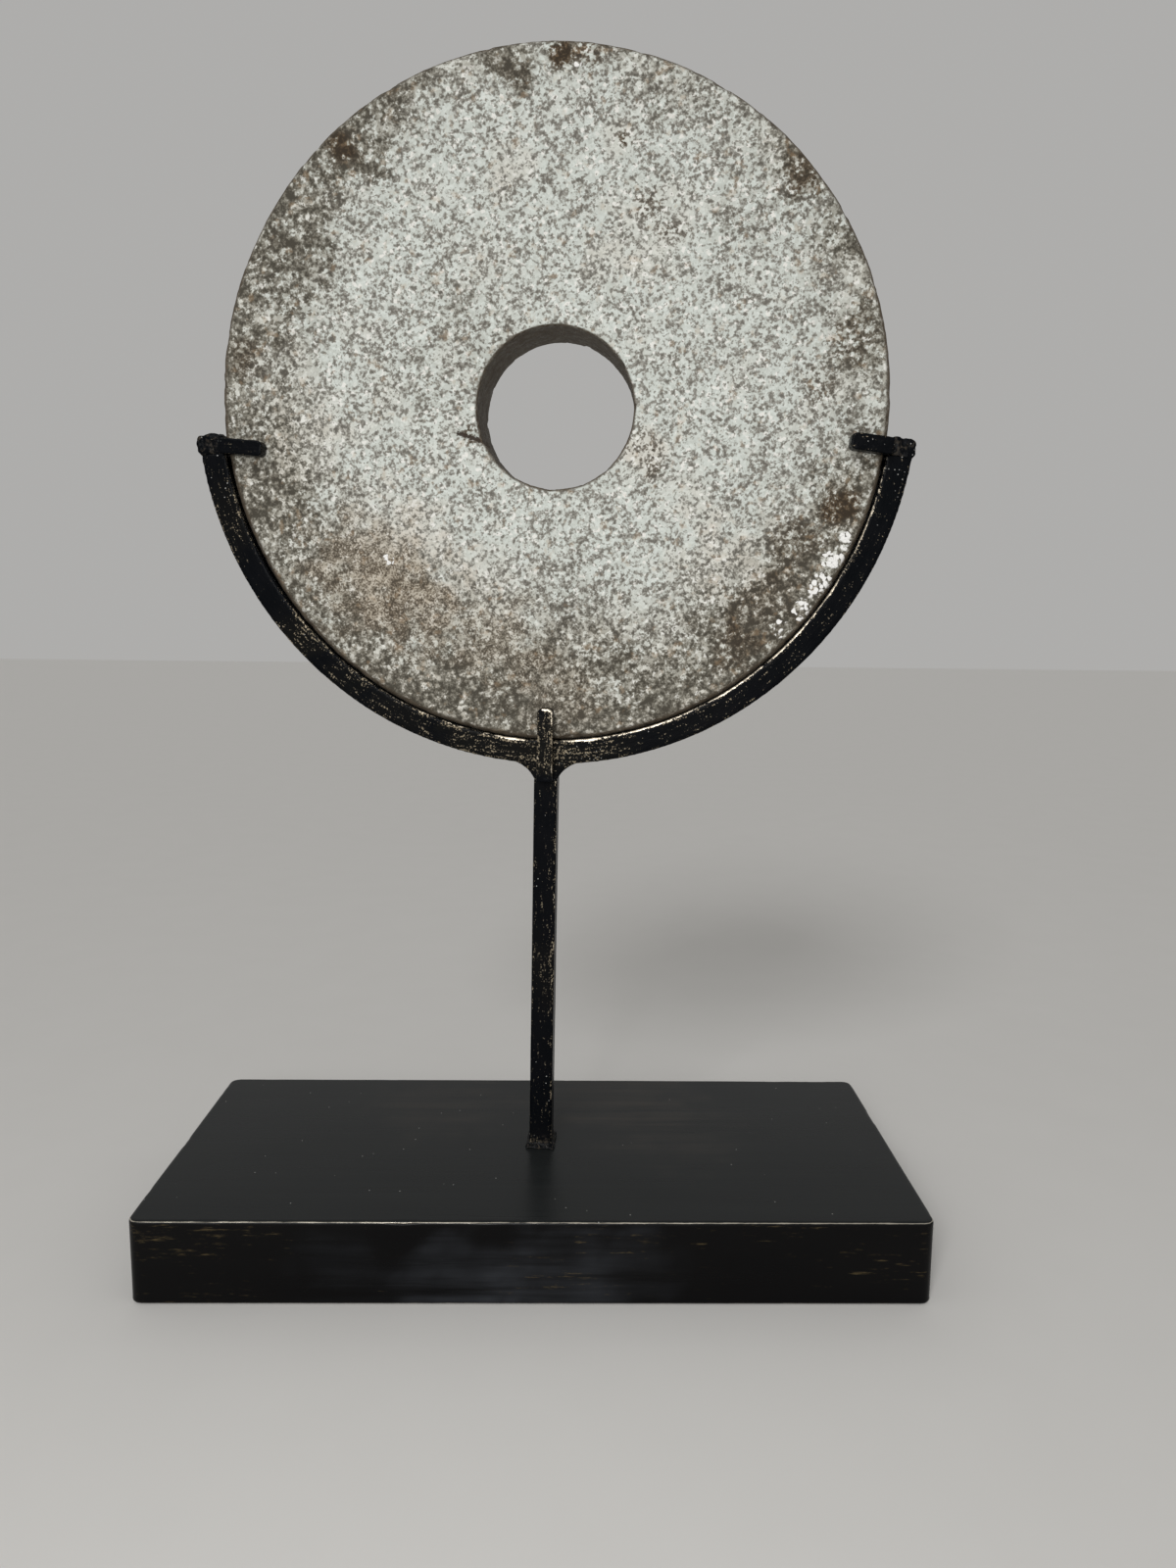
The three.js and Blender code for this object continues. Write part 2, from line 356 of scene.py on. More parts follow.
def stone_finish():
    """Pale celadon-white grains over a grey-olive ground, stained brown in patches and towards the rim."""
    stone = Finish("weathered stone")
    place = stone.turned(stone.millimetres(), GRAIN_AXIS, GRAIN_TURN)
    dark = stone.written("dark")
    brown = stone.written("brown")
    rosy = stone.written("rosy")

    # White is 1 on the pale grains, and deep grows towards the middle of the ground between them
    drift = stone.cloud(place, 8.0, 3.0)
    clump = stone.cloud(stone.shifted(place, (17, 4, 60)), 3.6, 1.0)
    coarse = stone.cloud(place, GRAIN, 2.0, 0.55)
    fine = stone.cloud(stone.shifted(place, (31, 7, 5)), FINE_GRAIN, 1.5, 0.5)
    beads = 0.5 + (0.5 - stone.cells(stone.shifted(place, (5, 5, 2)), BEAD_GRAIN)) * 0.5
    fine_share = 0.26 + rosy * 0.34
    bead_share = stone.kept(dark * 0.6) * 0.38
    field = coarse * (1 - fine_share - bead_share) + fine * fine_share + beads * bead_share
    level = 0.478 + dark * 0.044 + brown * 0.03 + (drift - 0.5) * 0.16 + (clump - 0.5) * 0.26
    white = stone.rise(field, level - 0.05, level + 0.05)
    deep = stone.rise(level - field, 0.0, 0.15)

    # The ground, darker and browner in its patches
    plain = stone.mix(deep, linear(151, 149, 141), linear(106, 103, 96))
    shaded = stone.mix(deep, linear(122, 118, 107), linear(68, 64, 55))
    warm = stone.mix(deep, linear(131, 119, 103), linear(78, 69, 57))
    stained = stone.mix(deep, linear(94, 78, 58), linear(50, 40, 28))
    ground = stone.mix(stone.kept(dark), plain, shaded)
    ground = stone.mix(stone.kept(rosy * 0.85), ground, warm)
    ground = stone.mix(stone.kept(brown + (drift - 0.5) * 0.8), ground, stained)

    # The pale grains, some dimmer and some brighter than their neighbours
    warmth = stone.written("warm") + (stone.cloud(stone.shifted(place, (90, 0, 40)), 14.0, 3.0) - 0.5) * 1.6
    pale = stone.mix(stone.kept(warmth), linear(209, 214, 208), linear(213, 209, 199))
    luck = stone.chance(place, KNOB)
    pale = stone.tint(luck * 0.3, pale, linear(196, 194, 186))
    pale = stone.tint(stone.chance(place, 0.7) * 0.4, pale, linear(206, 206, 204))
    bright = stone.rise(stone.chance(stone.shifted(place, (4, 9, 2)), 1.1), 0.86, 0.94)
    pale = stone.mix(bright, pale, linear(222, 221, 215))
    dim = stone.kept(dark * 1.1) * stone.rise(luck, 0.15, 0.85)
    pale = stone.mix(dim * 0.65, pale, linear(136, 131, 118))
    pale = stone.mix(stone.kept(rosy * 0.6), pale, linear(170, 158, 139))
    face = stone.mix(white, ground, pale)
    freckle = stone.rise(stone.cloud(stone.shifted(place, (3, 50, 9)), 3.4, 2.0), 0.60, 0.72)
    face = stone.mix(freckle * 0.25, face, linear(170, 142, 110))
    crack = stone.rise(stone.written("crack") + (fine - 0.5) * 0.5, 0.62, 0.78)
    face = stone.mix(crack, face, linear(52, 42, 33))

    # Knobs of white crust, and the browner side, darkened too by painted shade on the rim's rounding and the
    # hole's wall
    knob_place = stone.shifted(place, (7, 3, 8))
    knobs = stone.rise(0.74 - stone.cells(knob_place, KNOB), 0.0, 0.16)
    picked = stone.rise(stone.written("crust") + (stone.chance(knob_place, KNOB) - 0.5) * 0.7, 0.50, 0.56)
    crust = knobs * picked
    face = stone.mix(crust, face, linear(236, 235, 232))
    side = stone.written("side")
    side_stain_and_shade = stone.mix(stone.cloud(place, 3.0, 3.0), linear(57, 47, 36), linear(96, 85, 70))
    side_stain_and_shade_share = stone.kept(side * 0.9 + (coarse - 0.5) * 1.4 * side)
    face = stone.mix(side_stain_and_shade_share, face, side_stain_and_shade)

    height = white * 0.5 + fine * 0.35 + crust * 0.8
    roughness = 0.86 - white * 0.16
    return stone.surface(face, roughness, stone.relief(height, STONE_RELIEF), specular=0.35)


def metal_finish():
    """Blue-black satin paint, rubbed through to bronze along edges and in patches, with bright metal that is
    partly painted highlight, and pale specks of dust and painted glints.
    """
    metal = Finish("black bar")
    place = metal.written_place("way")
    edge = metal.written("edge")
    rub = metal.written("rub")
    lumpy = metal.written("lumpy")

    streak = metal.cloud(metal.stretched(place, (0.16, 1.0, 1.0)), 0.7, 3.0, 0.6)
    spots = metal.cloud(metal.shifted(place, (14, 3, 8)), 0.55, 2.0, 0.6)
    blotch = metal.cloud(place, 9.0, 2.0)
    tone = metal.mix(blotch, linear(2, 4, 7), linear(12, 13, 16))
    paint = metal.mix(metal.kept(rub * 0.8), tone, linear(19, 18, 16))

    # Bronze where the paint is rubbed thin, and bright metal where it is gone, which also paints highlights
    # on edges and tops
    worn = rub * 0.20 + edge * 0.24 + (streak - 0.5) * 1.3 + (spots - 0.5) * 1.4 - lumpy * 0.05
    bronze = metal.rise(worn, 0.31, 0.47)
    rubbed = metal.mix(metal.rise(spots, 0.42, 0.58), linear(88, 76, 60), linear(158, 146, 124))
    colour = metal.mix(bronze * 0.75, paint, rubbed)
    shown = edge + metal.written("bare_and_highlight") + (streak - 0.5) * 0.9 + (blotch - 0.5) * 0.8 - lumpy * 0.1
    bare_and_highlight = metal.rise(shown + (spots - 0.5) * 0.7, 0.74, 0.90)
    colour = metal.mix(bare_and_highlight, colour, linear(214, 203, 184))

    # Pale specks: dust, and painted glints on the rough paint
    crowd = metal.shifted(place, (2, 9, 4))
    chance = metal.chance(crowd, SPECK_SPACING)
    lucky = metal.rise(chance, 0.955, 0.98) + metal.rise(chance, 0.55, 0.60) * metal.written("dust_and_glint")
    specks = metal.rise(0.16 - metal.cells(crowd, SPECK_SPACING), 0.0, 0.04) * metal.kept(lucky)
    colour = metal.mix(specks * 0.7, colour, linear(190, 190, 186))

    # Grit on the lumps of weld
    crumb = metal.cloud(place, 1.6, 3.0, 0.6)
    gritty = metal.rise(crumb, 0.5, 0.7) * lumpy
    colour = metal.mix(gritty * 0.6, colour, linear(78, 71, 62))
    shine = 0.32 + (streak - 0.5) * 0.3 + bronze * 0.12 + gritty * 0.2 + specks * 0.3
    height = spots * 0.3 + streak * 0.25 - bronze * 0.2 + crumb * lumpy * 2.6
    metallic = metal.kept(bronze * 0.5 + bare_and_highlight * 0.8)
    return metal.surface(colour, shine, metal.relief(height, BAR_RELIEF), metallic, 0.05)


def base_finish():
    """Satin charcoal paint with faint streaks along it, dust on top, a pale line along its edges of wear and
    painted highlight, and painted reflections on its top and front.
    """
    paint = Finish("base paint")
    place = paint.written_place("way")
    edge = paint.written("edge")
    top = paint.written("top")

    # The top is paler than the sides, a painted reflection, and has smears, and the front has sheens that are
    # painted reflections
    brushed = paint.cloud(paint.stretched(place, (0.05, 1.0, 1.0)), 5.0, 4.0, 0.6)
    blotch = paint.cloud(paint.stretched(place, (0.4, 1.0, 1.0)), 34.0, 3.0, 0.6)
    # Painted light: the top's paler grey stands in for light reflected off the top
    upper = paint.mix(brushed, linear(24, 26, 27), linear(35, 37, 37))
    smear = paint.written("smear") * paint.rise(brushed, 0.3, 0.75)
    upper = paint.mix(paint.kept(smear), upper, linear(62, 58, 54))
    lower = paint.mix(blotch, linear(1, 1, 2), linear(13, 12, 12))
    # Painted reflection: a paler bluish patch on the front stands in for light reflected in the paint
    painted_reflection = paint.written("painted_reflection") * paint.rise(brushed, 0.25, 0.7)
    lower = paint.mix(paint.kept(painted_reflection), lower, linear(45, 47, 51))
    colour = paint.mix(top, lower, upper)

    # Fine scratches show a little gold, and the edges are worn pale, a line that is also a painted highlight
    scratch = paint.cloud(paint.stretched(paint.shifted(place, (8, 70, 2)), (0.12, 1.0, 1.0)), 1.0, 4.0, 0.68)
    gold = paint.rise(scratch + (blotch - 0.5) * 0.55 - top * 0.12, 0.63, 0.78) * 0.4
    colour = paint.mix(gold, colour, linear(104, 90, 62))
    worn = paint.rise(edge + (brushed - 0.5) * 0.9 + (scratch - 0.5) * 0.9, 0.72, 0.88)
    colour = paint.mix(worn * 0.85, colour, linear(196, 189, 174))

    # Dust on the top
    lucky = paint.rise(paint.chance(place, DUST_SPACING), 0.82, 0.86)
    dust = paint.rise(0.07 - paint.cells(place, DUST_SPACING), 0.0, 0.02) * lucky * top
    colour = paint.mix(dust * 0.7, colour, linear(178, 178, 174))

    shine = 0.29 + (brushed - 0.5) * 0.16 + (blotch - 0.5) * 0.1 + smear * 0.12
    height = brushed * 0.6 + scratch * 0.3
    metallic = paint.kept(worn * 0.8 + gold * 0.3)
    return paint.surface(colour, shine, paint.relief(height, BASE_RELIEF), metallic, 0.10)


def in_scene(name, data):
    """A new object with that data, put in the scene."""
    made = bpy.data.objects.new(name, data)
    bpy.context.scene.collection.objects.link(made)
    return made


def new_object(name, points, faces):
    mesh = bpy.data.meshes.new(name)
    mesh.from_pydata(points, [], faces)
    mesh.update()
    return in_scene(name, mesh)


def points_of(mesh):
    flat = np.zeros(len(mesh.vertices) * 3)
    mesh.vertices.foreach_get("co", flat)
    return flat.reshape(-1, 3)


def normals_of(mesh):
    flat = np.zeros(len(mesh.vertices) * 3)
    mesh.vertices.foreach_get("normal", flat)
    return flat.reshape(-1, 3)


def move_points(mesh, points):
    mesh.vertices.foreach_set("co", points.ravel())
    mesh.update()


def write_numbers(mesh, name, values):
    kept = mesh.attributes.new(name, "FLOAT", "POINT")
    kept.data.foreach_set("value", np.asarray(values, np.float32))


def write_places(mesh, name, places):
    kept = mesh.attributes.new(name, "FLOAT_VECTOR", "POINT")
    kept.data.foreach_set("vector", np.asarray(places, np.float32).ravel())


def soften(share):
    """Eases a share from 0 to 1, below 0 and above 1 too."""
    share = np.clip(share, 0, 1)
    return share * share * (3 - 2 * share)


def rough(places, size, octaves=3, shift=0.0):
    """Noise of about -1 to 1 at each place, with blobs about that size, in the same unit."""
    offset = Vector((shift, shift, 0))
    return np.array([noise.fractal(Vector(place) / size + offset, 0.8, 2.0, octaves) for place in places])


def patch_sum(places, patches, ragged):
    """How much of the patches each place has. Ragged moves their outlines, as a share of their radius."""
    total = np.zeros(len(places))
    for x, z, radius, amount in patches:
        away = np.hypot(places[:, 0] - x, places[:, 2] - z) / radius + ragged
        total += amount * soften(1.35 - away)
    return total


def wear_piece(piece, node, finish):
    """The piece takes the place of the model's node, with its own finish and the record's slot."""
    piece.data.materials.clear()
    piece.data.materials.append(finish)
    piece.data.shade_smooth()
    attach(piece, BODY)
    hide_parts(node)


def upper_placement():
    """The disc's middle and directions: x to the right, y through it to the back, z up."""
    low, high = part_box("disc")
    turn = Matrix.Rotation(math.radians(TURN), 4, "Z")
    right = Matrix.Rotation(math.radians(LEAN_RIGHT), 4, "Y")
    forward = Matrix.Rotation(math.radians(LEAN_FORWARD), 4, "X")
    return Matrix.Translation((low + high) / 2) @ turn @ right @ forward


def seen_from(points, placement):
    """World points, in metres, in the placement's own directions, in millimetres."""
    back = np.array(placement.inverted())
    return (points @ back[:3, :3].T + back[:3, 3]) / MM


def disc_sizes(placement):
    """The disc's radius and half thickness, and its hole's radius and middle, from the model's node."""
    own = seen_from(points_of(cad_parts["disc"].data), placement)
    out = np.hypot(own[:, 0], own[:, 2])
    half = own[:, 1].max()
    wall = own[(out < out.max() / 2) & (abs(own[:, 1]) < half * 0.95)]
    middle = (wall.max(0) + wall.min(0)) / 2
    hole = (wall[:, 0].max() - wall[:, 0].min()) / 2
    return out.max(), half, hole, middle


def quarter_turn(rows):
    """The sine and cosine after each of that many steps of a quarter turn."""
    angles = [math.pi / 2 * i / rows for i in range(1, rows + 1)]
    return [(math.sin(angle), math.cos(angle)) for angle in angles]


def disc_section(half):
    """The section of the disc, from its hole round the front, rim and back and through the hole again.
    Each point is its share of the way from hole to rim, its distance outwards from there, and its depth."""
    section = []
    for i in range(FRONT_RINGS + 1):
        share = i / FRONT_RINGS
        section.append((share, MOUTH_ROUND - share * (MOUTH_ROUND + EDGE_ROUND), -half))
    for sine, cosine in quarter_turn(ARC_ROWS):
        section.append((1.0, EDGE_ROUND * (sine - 1), -half + EDGE_ROUND * (1 - cosine)))
    straight = half - EDGE_ROUND
    for i in range(1, RIM_ROWS + 1):
        section.append((1.0, 0.0, straight * (2 * i / RIM_ROWS - 1)))
    for sine, cosine in quarter_turn(ARC_ROWS):
        section.append((1.0, EDGE_ROUND * (cosine - 1), straight + EDGE_ROUND * sine))
    for i in range(1, BACK_RINGS + 1):
        share = 1 - i / BACK_RINGS
        section.append((share, MOUTH_ROUND - share * (MOUTH_ROUND + EDGE_ROUND), half))
    for sine, cosine in quarter_turn(MOUTH_ROWS):
        section.append((0.0, MOUTH_ROUND * (1 - sine), half - MOUTH_ROUND * (1 - cosine)))
    bore = half - MOUTH_ROUND
    for i in range(1, WALL_ROWS + 1):
        section.append((0.0, 0.0, bore * (1 - 2 * i / WALL_ROWS)))
    for sine, cosine in quarter_turn(MOUTH_ROWS)[:-1]:
        section.append((0.0, MOUTH_ROUND * (1 - cosine), -bore - MOUTH_ROUND * sine))
    return section


def disc_places(radius, half, hole, middle):
    """Every point of the disc's mesh, in millimetres: the section, once for each step round the disc."""
    section = np.array(disc_section(half))
    angle = np.arange(STEPS_ROUND) * 2 * math.pi / STEPS_ROUND
    outward = np.stack([np.cos(angle), np.zeros(STEPS_ROUND), np.sin(angle)], 1)
    inner = middle * (1, 0, 1) + hole * outward
    outer = radius * outward
    share, offset, depth = (section[:, i][None, :, None] for i in range(3))
    places = inner[:, None] * (1 - share) + outer[:, None] * share + offset * outward[:, None]
    places = places + depth * np.array((0, 1, 0))
    return places.reshape(-1, 3), len(section)


def ring_faces(count):
    """Four-sided faces that join each step's section to the next one's."""
    faces = []
    for step in range(STEPS_ROUND):
        here = step * count
        there = (step + 1) % STEPS_ROUND * count
        for i in range(count):
            after = (i + 1) % count
            faces.append((here + i, here + after, there + after, there + i))
    return faces


def back_patches(count, radius):
    """Patches like the front's, thrown anywhere on the back, out to that radius."""
    dice = random.Random(7)
    found = []
    for _ in range(count):
        reach = radius * math.sqrt(dice.uniform(0.25, 1))
        angle = dice.uniform(0, 2 * math.pi)
        size = dice.uniform(6, 20)
        amount = dice.uniform(0.4, 1)
        found.append((reach * math.cos(angle), reach * math.sin(angle), size, amount))
    return found


def pits(places, edge_share):
    """Small pits all over, more of them near the rim: how deep each place lies in them, in millimetres."""
    dice = random.Random(11)
    tree = kdtree.KDTree(len(places))
    for i, place in enumerate(places):
        tree.insert(place, i)
    tree.balance()
    depth = np.zeros(len(places))
    for _ in range(PIT_TRIES):
        start = dice.randrange(len(places))
        if dice.random() > 0.35 + 0.65 * edge_share[start]:
            continue
        width = dice.uniform(*PIT_WIDTHS)
        deep = dice.uniform(*PIT_DEPTHS)
        for _, i, away in tree.find_range(places[start], width):
            depth[i] = max(depth[i], deep * (1 - (away / width) ** 2))
    return depth


def crack_depth(places):
    """How near each place is to the crack beside the hole: 1 in it, and 0 from its width away."""
    start, end = np.array(CRACK[0]), np.array(CRACK[1])
    flat = places[:, (0, 2)]
    run = end - start
    share = np.clip((flat - start) @ run / (run @ run), 0, 1)
    away = np.linalg.norm(flat - start - share[:, None] * run, axis=1)
    return np.clip(1 - away / CRACK_WIDTH, 0, 1) * (places[:, 1] < 0)


def rim_ring(places, radius):
    """How much of the darker ring at the rim each place has."""
    out = np.hypot(places[:, 0], places[:, 2])
    degrees = np.degrees(np.arctan2(places[:, 2], places[:, 0])) % 360
    start = np.interp(degrees, RING_ANGLES, RING_STARTS)
    amount = np.interp(degrees, RING_ANGLES, RING_AMOUNTS)
    ring = np.clip((out - start) / (radius - start), 0, 1) ** 1.3 * amount
    return ring * (1 + 0.5 * rough(places, 20.0, 3, 5.0))


def stains(places, radius):
    """How dark, brown, rosy, warm and crusted each place of the disc is."""
    front = places[:, 1] < 0
    ragged = rough(places, 7.0, 4) * 0.55
    ring = rim_ring(places, radius)
    behind = back_patches(26, 104)

    def spread(patches, on_back):
        return np.where(front, patch_sum(places, patches, ragged), patch_sum(places, on_back, ragged))

    return {
        "dark": np.clip(spread(DARK_PATCHES, behind) + ring, 0, 2),
        "brown": np.clip(spread(BROWN_PATCHES, behind[:9]), 0, 1.2),
        "rosy": np.clip(spread(ROSY_PATCHES, behind[9:12]), 0, 1),
        "warm": np.clip(spread(WARM_PATCHES, behind[12:20]) + ring * 0.5, 0, 1),
        "crust": np.clip(np.where(front, patch_sum(places, CRUST_PATCHES, ragged * 0.5), 0), 0, 1),
    }


def edge_chips(places, radius, half, hole, middle):
    """How deep the chips are along the rim's and the hole's edges."""
    from_face = half - abs(places[:, 1])
    from_rim = np.hypot(radius - np.hypot(places[:, 0], places[:, 2]), from_face)
    hole_out = np.hypot(places[:, 0] - middle[0], places[:, 2] - middle[2])
    from_mouth = np.hypot(hole_out - hole, from_face)
    near_edge = soften(1 - np.minimum(from_rim, from_mouth) / CHIP_REACH)
    return np.clip(rough(places, 4.0, 3, 9.0) - 0.2, 0, 1) * near_edge * CHIP_DEPTH


def stone_disc(placement):
    """The disc, with its stains and painted shade written on its points and its pits, chips, waves and crack
    in its form.
    """
    radius, half, hole, middle = disc_sizes(placement)
    places, count = disc_places(radius, half, hole, middle)
    piece = new_object("stone_disc", places * MM, ring_faces(count))
    mesh = piece.data
    normals = normals_of(mesh)
    written = stains(places, radius)
    written["crack"] = crack_depth(places)
    # The side's darker colour, stain and painted shade, starts further round the edge at the top than at the
    # foot, where more of the rounding lies in painted shade
    tilt = 0.12 + 0.36 * soften(places[:, 2] / radius + 0.3)
    written["side"] = soften((np.hypot(normals[:, 0], normals[:, 2]) - tilt) / 0.4)

    worn = np.clip(written["dark"], 0, 1)
    waves = rough(places, 34.0, 2, 3.0) * 0.18 + rough(places, 8.0, 3, 1.0) * 0.08
    grit = rough(places, 1.9, 2, 2.0) * 0.10
    chips = edge_chips(places, radius, half, hole, middle)
    sunk = pits(places, worn) + soften(written["crack"]) * CRACK_DEPTH + chips + worn * 0.12
    stands_out = waves + grit + written["crust"] * CRUST_HEIGHT - sunk - WORN_BACK
    move_points(mesh, (places + normals * stands_out[:, None]) * MM)
    for name, values in written.items():
        write_numbers(mesh, name, values)
    piece.matrix_world = placement
    wear_piece(piece, "disc", stone_finish())


def sharp_edge_tree(node, placement):
    """The node's sharp edges as points close together, in the placement's millimetres, for a quick search."""
    lines = bmesh.new()
    lines.from_mesh(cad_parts[node].data)
    bmesh.ops.remove_doubles(lines, verts=lines.verts, dist=0.001 * MM)
    points = []
    for edge in lines.edges:
        if len(edge.link_faces) == 2 and edge.calc_face_angle() > SHARP:
            steps = max(1, round(edge.calc_length() / (EDGE_STEP * MM)))
            start, end = (vert.co for vert in edge.verts)
            points.extend(start.lerp(end, i / steps) for i in range(steps + 1))
    lines.free()
    tree = kdtree.KDTree(len(points))
    for i, point in enumerate(seen_from(np.array(points), placement)):
        tree.insert(point, i)
    tree.balance()
    return tree


def remeshed(node, placement, voxel, passes):
    """A copy of the node's mesh made of small even faces that lie along the placement's directions.
    Smoothing rounds its corners."""
    rough_copy = in_scene(node + "_copy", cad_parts[node].data.copy())
    rough_copy.data.transform(placement.inverted())
    even = rough_copy.modifiers.new("even", "REMESH")
    even.mode = "VOXEL"
    even.voxel_size = voxel * MM
    smooth = rough_copy.modifiers.new("smooth", "SMOOTH")
    smooth.factor = SMOOTH_SHARE
    smooth.iterations = passes
    bpy.context.view_layer.update()
    seen = rough_copy.evaluated_get(bpy.context.evaluated_depsgraph_get())
    mesh = bpy.data.meshes.new_from_object(seen)
    bpy.data.objects.remove(rough_copy)
    return mesh


def round_the_disc(places):
    """Along the cradle, across it and through it."""
    out = np.hypot(places[:, 0], places[:, 2])
    angle = np.arctan2(places[:, 0], -places[:, 2])
    return np.stack([angle * out.mean(), out, places[:, 1]], 1)


def up_the_bar(places):
    return places[:, (2, 0, 1)]


def along_the_finger(places):
    return places


def cradle_worn_highlight(places):
    """The cradle's inner front edge, worn and given a painted highlight, which shines on the right and at the
    bottom and less on the left.
    """
    out = np.hypot(places[:, 0], places[:, 2])
    near = np.clip(1 - np.hypot(out - out.min(), places[:, 1] - places[:, 1].min()) / HIGHLIGHT_REACH, 0, 1)
    degrees = np.degrees(np.arctan2(places[:, 0], -places[:, 2]))
    return near * np.interp(degrees, HIGHLIGHT_ANGLES, HIGHLIGHT_AMOUNTS)


def post_worn_highlight(places):
    """The post's front edge on the right, rubbed a little and given a painted highlight all the way up."""
    corner = (places[:, 0].max() - BEAD_SPREAD, places[:, 1].min() + BEAD_SPREAD)
    return 0.66 * np.clip(1 - np.hypot(places[:, 0] - corner[0], places[:, 1] - corner[1]) / HIGHLIGHT_REACH, 0, 1)


def cradle_lip(places):
    """How far the cradle's front edge stands in over the disc's rounded rim: a move along X and Z."""
    out = np.hypot(places[:, 0], places[:, 2])
    front = soften(1 - (places[:, 1] - places[:, 1].min()) / LIP_DEPTH)
    inner = soften(1 - (out - out.min()) / LIP_WIDTH)
    return places * (-LIP_REACH * front * inner / out)[:, None] * (1, 0, 1)


def unmoved(places):
    return np.zeros(places.shape)


def nowhere(places):
    return np.zeros(len(places))


def all_over(places):
    return np.ones(len(places))


def at_the_foot(places):
    """The bead of weld round the post's foot."""
    return soften(1.6 - (places[:, 2] - places[:, 2].min()) / BEAD_HEIGHT)


def grown(places, low_move, high_move):
    """Moves the low ends by low_move and the high ends by high_move, and what is between them in between."""
    share = (places - places.min(0)) / (places.max(0) - places.min(0))
    return (1 - share) * low_move + share * high_move


def stand_piece(node, name, placement, way, finish, voxel, passes, lumps=0.03, lump_size=9.0, line=nowhere,
                lip=unmoved, weld=nowhere, low_move=(0, 0, 0), high_move=(0, 0, 0)):
    """One bar of the stand. Way gives the directions of its streaks, line its brightly worn edge with its
    painted highlight, and weld where it is lumpy. Lip, low_move and high_move change its form a little."""
    mesh = remeshed(node, placement, voxel, passes)
    places = points_of(mesh) / MM
    normals = normals_of(mesh)
    tree = sharp_edge_tree(node, placement)
    to_edge = np.array([tree.find(place)[2] for place in places])
    lumpy = weld(places)
    swell = rough(places, lump_size, 3, 4.0) * lumps + rough(places, lump_size / 3, 2, 8.0) * lumps * 0.4
    swell = swell + rough(places, WELD_LUMP, 2, 3.0) * lumpy * WELD_RISE
    ragged = rough(places, 5.0, 3) * 0.4
    # Welds keep the paint whole, and where the bottom bar meets the post the black is kept as painted shade
    weld_and_shade = np.clip(patch_sum(places, WELD_AND_SHADE_PATCHES, ragged * 0.5), 0, 1)
    rub = np.clip(patch_sum(places, RUB_PATCHES, ragged), 0, 1) * (1 - weld_and_shade)
    corners = np.clip(1 - to_edge / EDGE_REACH, 0, 1) * (1 - weld_and_shade) * (0.45 + 0.3 * rub)
    # The edge number holds the worn corners and the painted highlight along the bright edge
    write_numbers(mesh, "edge", np.maximum(corners, line(places)))
    write_numbers(mesh, "rub", rub)
    write_numbers(mesh, "lumpy", lumpy)
    write_numbers(mesh, "bare_and_highlight", np.clip(patch_sum(places, BARE_AND_HIGHLIGHT_PATCHES, ragged), 0, 1) * 0.6)
    write_numbers(mesh, "dust_and_glint", np.clip(patch_sum(places, DUST_AND_GLINT_PATCHES, ragged), 0, 1))
    write_places(mesh, "way", way(places))
    moved = places + lip(places) + grown(places, low_move, high_move)
    move_points(mesh, (moved + normals * swell[:, None]) * MM)
    piece = in_scene(name, mesh)
    piece.matrix_world = placement
    wear_piece(piece, node, finish)


def stand(placement):
    """The cradle, the post, the lumps on the arms' ends and the short bars that hold the disc."""
    bar = metal_finish()
    stand_piece("cradle", "stand_cradle", placement, round_the_disc, bar, voxel=0.65, passes=4,
                line=cradle_worn_highlight, lip=cradle_lip)
    stand_piece("post", "stand_post", placement, up_the_bar, bar, voxel=0.45, passes=4,
                line=post_worn_highlight, weld=at_the_foot, high_move=(0, 0, SEAM))
    for side in ("left", "right"):
        stand_piece(f"tip_{side}", f"arm_tip_{side}", placement, along_the_finger, bar, voxel=0.4, passes=7,
                    lumps=0.35, lump_size=3.0, weld=all_over, low_move=(0, 0, -SEAM))
    for where in ("front", "back"):
        for side in ("left", "right", "bottom"):
            name = f"finger_{where}_{side}"
            way = up_the_bar if side == "bottom" else along_the_finger
            low_move, high_move = FINGER_MOVES[side]
            stand_piece(name, f"short_{name}", placement, way, bar, voxel=0.3, passes=5,
                        lumps=0.06, lump_size=3.0, low_move=low_move, high_move=high_move)


def lines_between(low, high, spacing):
    """Grid lines from low to high, close together near the two ends."""
    near = BASE_END_LINES
    inner_low, inner_high = low + near[-1], high - near[-1]
    count = round((inner_high - inner_low) / spacing)
    inside = [inner_low + (inner_high - inner_low) * i / count for i in range(1, count)]
    return [low + d for d in near] + inside + [high - d for d in reversed(near)]


def box_grid(xs, ys, zs):
    """The skin of a box on grid lines: its points and its four-sided faces."""
    index = {}
    points = []
    faces = []

    def point(i, j, k):
        if (i, j, k) not in index:
            index[i, j, k] = len(points)
            points.append((xs[i], ys[j], zs[k]))
        return index[i, j, k]

    def face(*corners):
        faces.append(tuple(point(*corner) for corner in corners))

    last_x, last_y, last_z = len(xs) - 1, len(ys) - 1, len(zs) - 1
    for i in range(last_x):
        for j in range(last_y):
            face((i, j, 0), (i, j + 1, 0), (i + 1, j + 1, 0), (i + 1, j, 0))
            face((i, j, last_z), (i + 1, j, last_z), (i + 1, j + 1, last_z), (i, j + 1, last_z))
        for k in range(last_z):
            face((i, 0, k), (i + 1, 0, k), (i + 1, 0, k + 1), (i, 0, k + 1))
            face((i, last_y, k), (i, last_y, k + 1), (i + 1, last_y, k + 1), (i + 1, last_y, k))
    for j in range(last_y):
        for k in range(last_z):
            face((0, j, k), (0, j, k + 1), (0, j + 1, k + 1), (0, j + 1, k))
            face((last_x, j, k), (last_x, j + 1, k), (last_x, j + 1, k + 1), (last_x, j, k + 1))
    return np.array(points), faces


